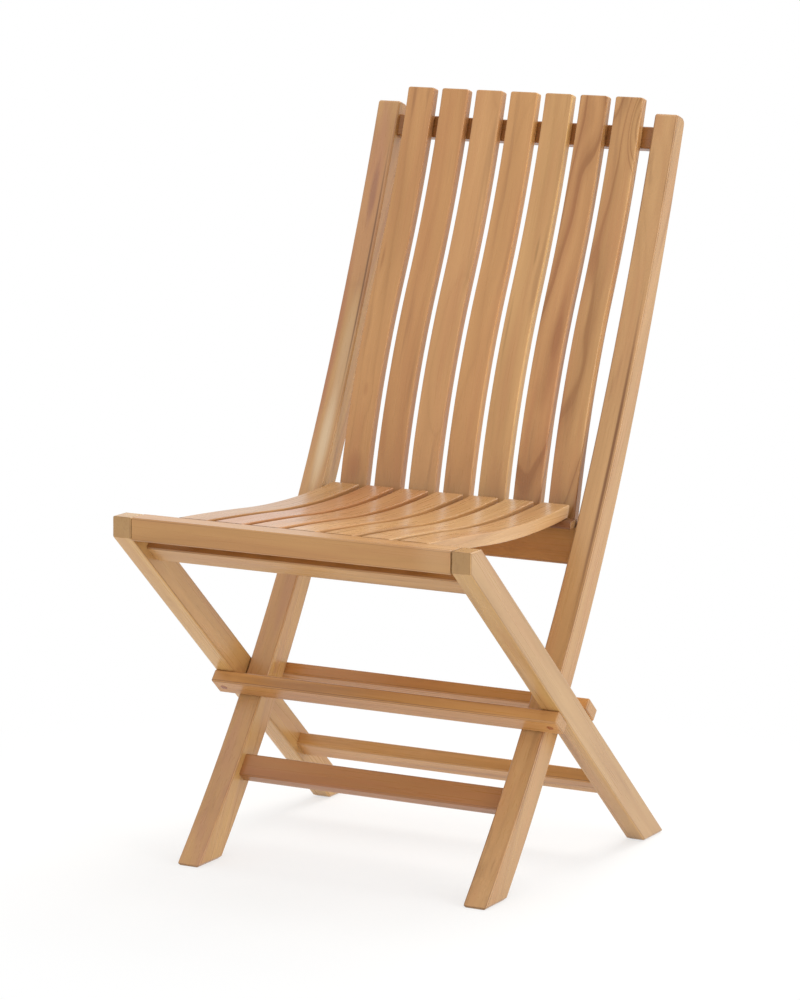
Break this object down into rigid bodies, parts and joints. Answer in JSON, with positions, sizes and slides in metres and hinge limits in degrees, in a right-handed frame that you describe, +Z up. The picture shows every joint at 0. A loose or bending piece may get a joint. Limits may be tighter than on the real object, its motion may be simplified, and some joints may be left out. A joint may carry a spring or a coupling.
{
  "type": "folding chair",
  "caption": "Folding teak garden chair with a dished slatted seat hinged to crossing legs and a tall back of S-curved slats.",
  "frame": {"origin": "on the floor, midway between the sides and midway between the seat's front and the rearmost point of the stiles' tops", "axes": "+Z up, +X to the right as seen from the front, +Y to the rear, so the sitter faces -Y"},
  "size_m": [0.48, 0.641, 0.9321],
  "materials": {
    "teak": "oiled teak, satin, grain along each piece",
    "plug": "darker end-grain teak plugs",
    "brass": "plain, slightly dulled",
    "steel": "plain stainless"
  },
  "bodies": {
    "back_frame": {"right_stile": "teak", "left_stile": "teak", "top_rail": "teak", "seat_support_rail": "teak", "front_stretcher": "teak", "back_slat_1": "teak", "back_slat_2": "teak", "back_slat_3": "teak", "back_slat_4": "teak", "back_slat_5": "teak", "back_slat_6": "teak", "back_slat_7": "teak", "back_slat_screws": "brass"},
    "leg_frame": {"right_leg": "teak", "left_leg": "teak", "leg_top_rail": "teak", "rear_stretcher": "teak", "front_stop_bar": "teak", "rear_stop_bar": "teak", "stop_bar_screws": "brass", "stop_bar_plugs": "plug", "pivot_bolts": "steel", "pivot_inserts": "brass", "pivot_washers": "steel"},
    "seat": {"seat_front_rail": "teak", "seat_slat_1": "teak", "seat_slat_2": "teak", "seat_slat_3": "teak", "seat_slat_4": "teak", "seat_slat_5": "teak", "seat_slat_6": "teak", "seat_slat_7": "teak", "seat_batten": "teak", "batten_screws": "brass", "hinge_pins": "steel"}
  },
  "joints": [
    {"name": "leg_fold", "type": "hinge", "parent": "back_frame", "child": "leg_frame", "pos_m": [0, -0.0256, 0.203], "axis": [-1, 0, 0], "range_deg": [0, 73]},
    {"name": "seat_fold", "type": "hinge", "parent": "leg_frame", "child": "seat", "pos_m": [0, -0.30447, 0.437], "axis": [1, 0, 0], "range_deg": [0, 146]}
  ],
  "couplings": [
    {"joint": "seat_fold", "follows": "leg_fold", "ratio": 2}
  ]
}
